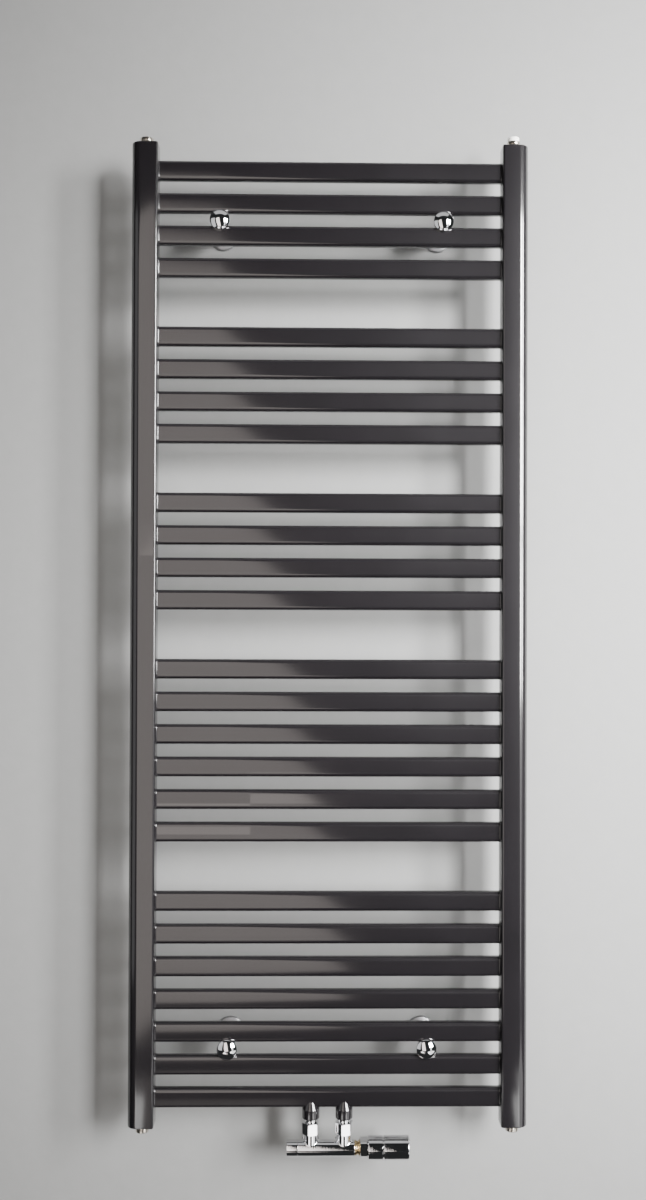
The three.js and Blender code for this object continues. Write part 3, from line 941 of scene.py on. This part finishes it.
# Outside from its inner end to its outer one, with a groove for the ring seal; then the key's hole.
spindle = [(22, 5.2), (21.4, 5.9), (6, 5.9), (5.6, 5.3), (4.4, 5.3), (4, 5.9), (0.5, 5.9), (0, 5.4)]
key_hole = [(0, 3.0), (0.3, 2.9), (6, 2.9)]
rings = [[(t, r, a) for a in angles] for t, r in spindle]
rings += [[(t, hexagon_radius(flats, a), a) for a in angles] for t, flats in key_hole]
spindle_at = Vector((low.x, bar_y, valve_z))
piece(
    "regulating_spindle",
    [
        [spindle_at + Vector((t, r * math.cos(a), r * math.sin(a))) * mm for t, r, a in ring]
        for ring in rings
    ],
    brass,
    "spindle",
    ["lockshield_spindle"],
)

# ---------------------------------------------------------------- thermostatic insert
# A brass cartridge screwed into the right end; its waisted collar shows between the body and the
# head's nut. The steel pin inside it and the sensor's capsule are the plain solids.

low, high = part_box("thermostat_insert")
collar = cross_right + 26 * mm
pin_bore = 2.3 * mm
insert_thread = insert_bore - 0.5 * mm
collar_radius = 10.9 * mm
waist = 9.1 * mm
insert_flange = 13.2 * mm
cartridge = [
    (low.x, pin_bore, 0),
    (low.x, insert_thread, 0.4 * mm),
    (collar, insert_thread, 0),
    (collar, 10.7 * mm, 0.4 * mm),
    (collar + 2.2 * mm, collar_radius, 0.5 * mm),
    (collar + 3.4 * mm, waist, 0.8 * mm),
    (collar + 4.8 * mm, waist, 0.8 * mm),
    (collar + 6.0 * mm, collar_radius, 0.5 * mm),
    (collar + 8.0 * mm, collar_radius, 0.3 * mm),
    (collar + 8.3 * mm, insert_flange, 0.3 * mm),
    (high.x, insert_flange, 0.4 * mm),
    (high.x, pin_bore, 0),
]
turned(
    "insert_cartridge",
    cartridge,
    (0, bar_y, valve_z),
    X,
    brass,
    "radiator",
    ["thermostat_insert"],
)


def repaint(node, material):
    """Gives a plain solid of the frame, which stays as it is, a new finish."""
    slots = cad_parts[node].data.materials
    slots.clear()
    slots.append(material)


def capsule_skin(place):
    grain = place.noise(1500, 2.0)
    return {
        "Base Color": grain.mix((0.016, 0.016, 0.017), (0.03, 0.03, 0.031)),
        "Roughness": 0.42 + 0.12 * grain,
        "Normal": place.bump(grain, 0.08),
    }


dark_plastic = finish("dark_moulded_plastic", {"Specular IOR Level": 0.4}, capsule_skin)
repaint("valve_pin", zinc_steel)
repaint("sensor_capsule", dark_plastic)

# ---------------------------------------------------------------- thermostatic head
# A chromed nut holds the head's base ring on the insert. The handle turns on the ring and slides
# the sensor's capsule, so that the valve opens or closes; dots and numbers show its setting.

low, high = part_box("head_nut")
hexagon_nut(
    "head_collar_nut",
    low.x,
    high.x,
    flats=14.4 * mm,
    corners=15.6 * mm,
    bore=13.6 * mm,
    mouth=12.6 * mm,
    centre=(0, bar_y, valve_z),
    axis=X,
    replaced=["head_nut"],
)
low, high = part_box("head_base")
head_radius = (high.z - low.z) / 2
base_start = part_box("head_nut")[1].x + 1.2 * mm
base_floor = base_start + 3 * mm
base_bore = 7 * mm
base_neck = 12.0 * mm
base_flange = 13.1 * mm
base_wall = 1.7 * mm
turned(
    "head_base_ring",
    [
        (low.x, base_bore, 0),
        (low.x, base_flange, 0.3 * mm),
        (low.x + 2.6 * mm, base_flange, 0.2 * mm),
        (low.x + 2.8 * mm, base_neck, 0),
        (base_start, base_neck, 0),
        (base_start, head_radius, 0.7 * mm),
        (high.x, head_radius, 0.5 * mm),
        (high.x, head_radius - base_wall, 0.3 * mm),
        (base_floor, head_radius - base_wall, 0),
        (base_floor, base_bore, 0),
    ],
    (0, bar_y, valve_z),
    X,
    turned_chrome,
    "radiator",
    ["head_base"],
    facets=112,
)
ring_end = high.x
low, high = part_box("head_handle")
handle_start = ring_end + 1.9 * mm
handle_floor = high.x - 5.6 * mm
handle_bore = head_radius - 4.2 * mm
handle_spigot = head_radius - 2.0 * mm
turned(
    "setting_handle",
    [
        (handle_floor, 0, 0),
        (handle_floor, handle_bore, 0),
        (low.x, handle_bore, 0.2 * mm),
        (low.x, handle_spigot, 0.2 * mm),
        (handle_start, handle_spigot, 0),
        (handle_start, head_radius, 0.5 * mm),
        (high.x - 2.6 * mm, head_radius, 1.6 * mm),
        (high.x - 0.7 * mm, head_radius - 2.6 * mm, 1.2 * mm),
        (high.x, 0, 0),
    ],
    (0, bar_y, valve_z),
    X,
    turned_chrome,
    "handle",
    ["head_handle"],
    facets=112,
)


def print_ink(place):
    speck = place.noise(3000, 1.0)
    return {
        "Base Color": speck.mix((0.008, 0.008, 0.009), (0.02, 0.02, 0.022)),
        "Roughness": 0.5 + 0.1 * speck,
    }


ink = finish("printed_scale_ink", {"Specular IOR Level": 0.3}, print_ink)
# The scale: each stroke runs between two points of a digit's box, one unit wide and two high.
digits = {
    "1": [(0.2, 1.6, 0.6, 2.0), (0.6, 2.0, 0.6, 0.0)],
    "2": [(0, 2, 1, 2), (1, 2, 1, 1), (1, 1, 0, 1), (0, 1, 0, 0), (0, 0, 1, 0)],
    "3": [(0, 2, 1, 2), (1, 2, 1, 0), (0.2, 1, 1, 1), (1, 0, 0, 0)],
    "4": [(0, 2, 0, 1), (0, 1, 1, 1), (1, 2, 1, 0)],
    "5": [(1, 2, 0, 2), (0, 2, 0, 1), (0, 1, 1, 1), (1, 1, 1, 0), (1, 0, 0, 0)],
}


def printed_strokes(name, strokes, thickness, body):
    """Ink laid round the head's cylinder; each stroke is (x, angle) to (x, angle)."""
    mesh = bpy.data.meshes.new(name)
    points, faces = [], []
    below, above = head_radius - 0.06 * mm, head_radius + 0.05 * mm
    for x0, a0, x1, a1 in strokes:
        run = Vector((x1 - x0, (a1 - a0) * head_radius))
        steps = max(1, int(run.length / (0.35 * mm)))
        way = run.normalized()
        half_end = way * thickness / 2
        half_side = Vector((-way.y, way.x)) * thickness / 2
        first = len(points)
        for i in range(steps + 1):
            share = i / steps
            at = Vector((x0 + (x1 - x0) * share, (a0 + (a1 - a0) * share) * head_radius))
            if i == 0:
                at -= half_end
            if i == steps:
                at += half_end
            for r in (below, above):
                for corner in (at - half_side, at + half_side):
                    a = corner.y / head_radius
                    points.append((corner.x, bar_y - r * math.cos(a), valve_z + r * math.sin(a)))
        for i in range(steps):
            a = first + 4 * i
            b = a + 4
            faces += [(a, b, b + 1, a + 1), (a + 2, a + 3, b + 3, b + 2)]
            faces += [(a, a + 2, b + 2, b), (a + 1, b + 1, b + 3, a + 3)]
        e = first + 4 * steps
        faces += [(first, first + 1, first + 3, first + 2), (e, e + 2, e + 3, e + 1)]
    mesh.from_pydata(points, [], faces)
    placed(name, mesh, ink, body)


strokes = []
digit_unit = 1.5 * mm
digit_foot = handle_start + 3.2 * mm
dot_start, dot_end = handle_start + 1.4 * mm, handle_start + 2.1 * mm
pointer_angle = math.radians(22)
setting_step = math.radians(50)
dot_lean = 0.001  # in radians: each dot turns off the axis by a hair
for index, digit in enumerate("12345"):
    at = pointer_angle + setting_step * (index - 2)
    # Seen from the front, digits stand along the handle's rim.
    for u0, v0, u1, v1 in digits[digit]:
        start, end = (
            (digit_foot + u * digit_unit, at + (v - 1) * digit_unit / head_radius)
            for u, v in ((u0, v0), (u1, v1))
        )
        strokes.append((*start, *end))
    # Four dots lead to the next number.
    if digit != "5":
        for part in range(1, 5):
            dot_at = at + setting_step * part / 5
            strokes.append((dot_start, dot_at, dot_end, dot_at + dot_lean))
printed_strokes("setting_numbers", strokes, 0.42 * mm, "handle")
pointer_end = pointer_angle + math.radians(0.01)
pointer = (ring_end - 3.4 * mm, pointer_angle, ring_end - 1.2 * mm, pointer_end)
printed_strokes("setting_pointer", [pointer], 0.9 * mm, "radiator")

# ---------------------------------------------------------------- wall, floor and light
# A pale plastered wall behind, a pale floor below, a tall soft box to the right, a weaker warm one
# to the left of the camera, and the dark of a studio for the bright parts to mirror.


def plaster(place):
    lumps = place.noise(38, 4.0, 0.55)
    return {
        "Base Color": lumps.mix((0.207, 0.210, 0.208), (0.231, 0.234, 0.232)),
        "Roughness": 0.75 + 0.1 * lumps,
        "Normal": place.bump(lumps, 0.35),
    }


# The wall shows from the room's side only, so that a view from behind sees the radiator's back.
wall_paint = finish("pale_wall_paint", {"Specular IOR Level": 0.3}, plaster)
shader = wall_paint.node_tree.nodes["Principled BSDF"]
output = wall_paint.node_tree.nodes["Material Output"]
behind = Signal(wall_paint.node_tree).node("ShaderNodeNewGeometry", output="Backfacing")
clear = behind.node("ShaderNodeBsdfTransparent")
one_sided = behind.node(
    "ShaderNodeMixShader", {}, {0: behind, 1: Signal(behind.tree, shader.outputs[0]), 2: clear}
)
wall_paint.node_tree.links.new(one_sided.socket, output.inputs["Surface"])
floor_z = -1.45


def flat_sheet(name, corners, material):
    mesh = bpy.data.meshes.new(name)
    mesh.from_pydata(corners, [], [tuple(range(len(corners)))])
    mesh.materials.append(material)
    made = bpy.data.objects.new(name, mesh)
    bpy.context.scene.collection.objects.link(made)
    made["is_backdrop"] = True
    return made


wall_y = 0.6 * mm  # just behind the wall feet
wall_top = 2.6
flat_sheet(
    "studio_wall",
    [(-3, wall_y, floor_z), (3, wall_y, floor_z), (3, wall_y, wall_top), (-3, wall_y, wall_top)],
    wall_paint,
)


def floor_paint(place):
    lumps = place.noise(20, 3.0)
    return {
        "Base Color": lumps.mix((0.58, 0.58, 0.575), (0.62, 0.62, 0.615)),
        "Roughness": 0.6 + 0.1 * lumps,
    }


def level_sheet(name, z, material):
    return flat_sheet(name, [(-5, -5, z), (5, -5, z), (5, 3, z), (-5, 3, z)], material)


pale_floor = finish("pale_floor", {"Specular IOR Level": 0.2}, floor_paint)
level_sheet("studio_floor", floor_z, pale_floor).visible_glossy = False
dark = finish(
    "studio_dark",
    {
        "Roughness": 1.0,
        "Specular IOR Level": 0.0,
        "Emission Color": (0.9, 0.95, 1.0, 1),
        "Emission Strength": 0.018,
    },
    lambda place: {"Base Color": place.noise(3).mix((0.02, 0.02, 0.02), (0.03, 0.03, 0.03))},
)
ceiling_z = 4
for name, (x0, y0), (x1, y1) in (
    ("studio_front", (-5, -5), (5, -5)),
    ("studio_left", (-5, -5), (-5, 3)),
    ("studio_right", (5, -5), (5, 3)),
):
    corners = [(x0, y0, floor_z), (x1, y1, floor_z), (x1, y1, ceiling_z), (x0, y0, ceiling_z)]
    flat_sheet(name, corners, dark).visible_camera = False
level_sheet("studio_ceiling", ceiling_z, dark).visible_camera = False
# Only reflections meet this sheet, so that polished metal mirrors a dark floor.
apron = level_sheet("studio_apron", floor_z - 0.01, dark)
apron.visible_camera = apron.visible_diffuse = apron.visible_shadow = False


def soft_box(name, place, target, width, height, radiance, colour, roll=0.0):
    """A lit sheet at a place, facing a target, as bright as its radiance whatever its size."""
    light = bpy.data.lights.new(name, "AREA")
    light.shape = "RECTANGLE"
    light.size = width
    light.size_y = height
    light.energy = radiance * math.pi * width * height
    light.color = colour
    lamp = bpy.data.objects.new(name, light)
    way = (Vector(target) - Vector(place)).normalized()
    lamp.matrix_world = (
        Matrix.Translation(place)
        @ way.to_track_quat("-Z", "Y").to_matrix().to_4x4()
        @ Matrix.Rotation(roll, 4, "Z")
    )
    lamp.visible_camera = False
    bpy.context.scene.collection.objects.link(lamp)
    return lamp


# The key is one tall soft box with a bright tube near each side. Its louvres send the light down a
# little, so that every towel gap gets the same slant.
daylight = (1.0, 0.99, 0.985)
slant = math.tan(math.radians(12.5))
louvre_spread = math.radians(60)
key_target_x = 0.7
tube_height = 0.6
for part, x, y, width, radiance in (
    ("near", 1.766, -2.32, 0.58, 24),
    ("far", 2.477, -1.747, 0.36, 20),
):
    drop = math.hypot(x - key_target_x, y) * slant
    for level, z, share in (("low", 0.0, 0.76), ("middle", 0.65, 1.0), ("high", 1.3, 1.12)):
        target = (key_target_x, 0, z - drop)
        brightness = radiance * share
        tube = soft_box(
            f"key_{part}_{level}", (x, y, z), target, width, tube_height, brightness, daylight
        )
        tube.data.spread = louvre_spread
soft_box("key_front", (1.95, -2.24, 0.2), (0, 0, 0.2), 0.5, 3.2, 2.6, daylight)
# The floor's glow below each lamp, which lights the undersides.
glow_z = floor_z + 0.02
soft_box("key_glow", (1.25, -1.15, glow_z), (1.25, -1.15, 0), 1.3, 1.2, 2.0, daylight)
# The fill hangs a little askew, right beside the camera, and is brightest below its middle.
warm = (1.0, 0.92, 0.865)
fill_y = -1.6
fill_width = 0.8
lean = math.radians(10.1)
for part, bottom, top, radiance in (
    ("sheet", -1.16, 1.20, 2.2),
    ("upper_tube", -1.15, 0.85, 0.8),
    ("middle_tube", -1.10, 0.50, 0.8),
    ("lower_tube", -1.0, 0.20, 1.2),
    ("core", -0.92, -0.02, 1.1),
):
    centre_z = (bottom + top) / 2
    x = -0.51 - 0.178 * centre_z
    place, target = (x, fill_y, centre_z), (x, 0, centre_z)
    soft_box("fill_" + part, place, target, fill_width, top - bottom, radiance, warm, lean)
soft_box("fill_glow", (-0.5, -1.3, glow_z), (-0.5, -1.3, 0), 0.9, 0.8, 0.6, warm)
# Two small cards lie low in front for the polished valve to mirror. They light no matt surface,
# but the gloss coat at the collectors' lower ends mirrors them a little too.
card_y = -1.27
card_z = floor_z + 0.03
card_size = 0.36
for side, x in (("left", -0.6), ("right", 0.69)):
    place, target = (x, card_y, card_z), (x, card_y, 0)
    card = soft_box("card_" + side, place, target, card_size, card_size, 5.0, daylight)
    card.visible_diffuse = False
white = (1.0, 1.0, 1.0)
soft_box("side_card", (-1.75, -1.05, 0.1), (-0.1, 0, 0.1), 1.2, 2.4, 0.8, white)
soft_box("ceiling_bounce", (0, -0.85, 2.6), (0, -0.85, 0), 3.0, 1.5, 0.6, white)

world = bpy.data.worlds.new("pale_studio")
world.use_nodes = True
background = world.node_tree.nodes["Background"]
background.inputs["Color"].default_value = (0.62, 0.63, 0.63, 1)
background.inputs["Strength"].default_value = 0.9
bpy.context.scene.world = world

# ---------------------------------------------------------------- camera
# It stands 1.74 m from the wall, a few centimetres above the radiator's middle and to the left of
# it, and is turned, tipped and rolled by less than a degree.

camera = bpy.data.cameras.new("viewpoint")
camera.sensor_width = 36
camera.lens = 33.036
camera_object = bpy.data.objects.new("viewpoint", camera)
bpy.context.scene.collection.objects.link(camera_object)
yaw, pitch, roll = math.radians(0.825), math.radians(0.515), math.radians(0.199)
ahead = Vector((math.sin(yaw) * math.cos(pitch), math.cos(yaw) * math.cos(pitch), math.sin(pitch)))
level = Vector((math.cos(yaw), -math.sin(yaw), 0))
upward = level.cross(ahead)
right = level * math.cos(roll) + upward * math.sin(roll)
upward = right.cross(ahead)
turn = Matrix((right, upward, -ahead)).transposed().to_4x4()
camera_place = (-0.0333, -1.74, 0.0356)
camera_object.matrix_world = Matrix.Translation(camera_place) @ turn
bpy.context.scene.camera = camera_object

low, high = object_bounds()
